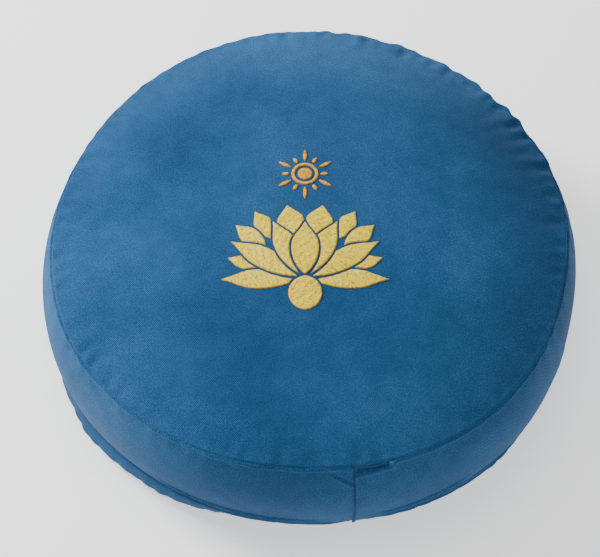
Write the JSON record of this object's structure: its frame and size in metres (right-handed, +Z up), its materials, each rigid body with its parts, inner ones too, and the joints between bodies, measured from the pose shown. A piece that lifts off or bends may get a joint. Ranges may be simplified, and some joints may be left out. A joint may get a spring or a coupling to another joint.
{
  "type": "round floor cushion",
  "caption": "Round boxed floor cushion with a zipped, embroidered cotton cover over a zipped inner bag filled with hulls.",
  "frame": {"origin": "centre of the resting face, on the floor", "axes": "+Z up; -Y towards the front, where the flower's base points and the band's front seam is; +X to the right seen from the front"},
  "size_m": [0.35, 0.35, 0.1168],
  "materials": {
    "cover_cloth": "soft matt cotton twill",
    "sewing_thread": "spun thread",
    "zip_tape": "woven tape",
    "zip_coil": "nylon coil",
    "zip_metal": "plated zinc",
    "bag_cloth": "plain cotton",
    "bag_thread": "spun thread",
    "hulls": "loose dry hulls",
    "flower_thread": "satin stitch",
    "sun_thread": "satin stitch",
    "stabiliser": "non-woven backing",
    "label_cloth": "woven label, blank"
  },
  "bodies": {
    "cushion": {"cover_top_panel": "cover_cloth", "cover_bottom_panel": "cover_cloth", "cover_band_left": "cover_cloth", "cover_band_right": "cover_cloth", "cover_zip_strip": "cover_cloth", "top_seam_thread": "sewing_thread", "bottom_seam_thread": "sewing_thread", "band_seam_thread": "sewing_thread", "zip_topstitch_thread": "sewing_thread", "cover_zip_tape_upper": "zip_tape", "cover_zip_tape_lower": "zip_tape", "cover_zip_coil_upper": "zip_coil", "cover_zip_coil_lower": "zip_coil", "cover_zip_top_stop": "zip_metal", "cover_zip_bottom_stop": "zip_metal", "inner_zip_tape_upper": "zip_tape", "inner_zip_tape_lower": "zip_tape", "inner_zip_coil_upper": "zip_coil", "inner_zip_coil_lower": "zip_coil", "inner_zip_top_stop": "zip_metal", "inner_zip_bottom_stop": "zip_metal", "inner_top_panel": "bag_cloth", "inner_bottom_panel": "bag_cloth", "inner_band": "bag_cloth", "inner_seam_thread": "bag_thread", "hull_fill": "hulls", "lotus_embroidery": "flower_thread", "sun_embroidery": "sun_thread", "embroidery_backing": "stabiliser", "care_label": "label_cloth"},
    "cover_slider": {"cover_zip_slider": "zip_metal"},
    "cover_pull": {"cover_zip_pull": "zip_metal"},
    "inner_slider": {"inner_zip_slider": "zip_metal", "inner_zip_pull": "zip_metal"}
  },
  "joints": [
    {"name": "cover_zip_travel", "type": "hinge", "parent": "cushion", "child": "cover_slider", "pos_m": [0, 0, 0], "axis": [0, 0, 1], "range_deg": [0, 106.36]},
    {"name": "cover_pull_swing", "type": "hinge", "parent": "cover_slider", "child": "cover_pull", "pos_m": [-0.14688, 0.08889, 0.02245], "axis": [0.275, -0.1664, -0.9469], "range_deg": [0, 170]},
    {"name": "inner_zip_travel", "type": "hinge", "parent": "cushion", "child": "inner_slider", "pos_m": [0, 0, 0], "axis": [0, 0, 1], "range_deg": [0, 62.36]}
  ]
}
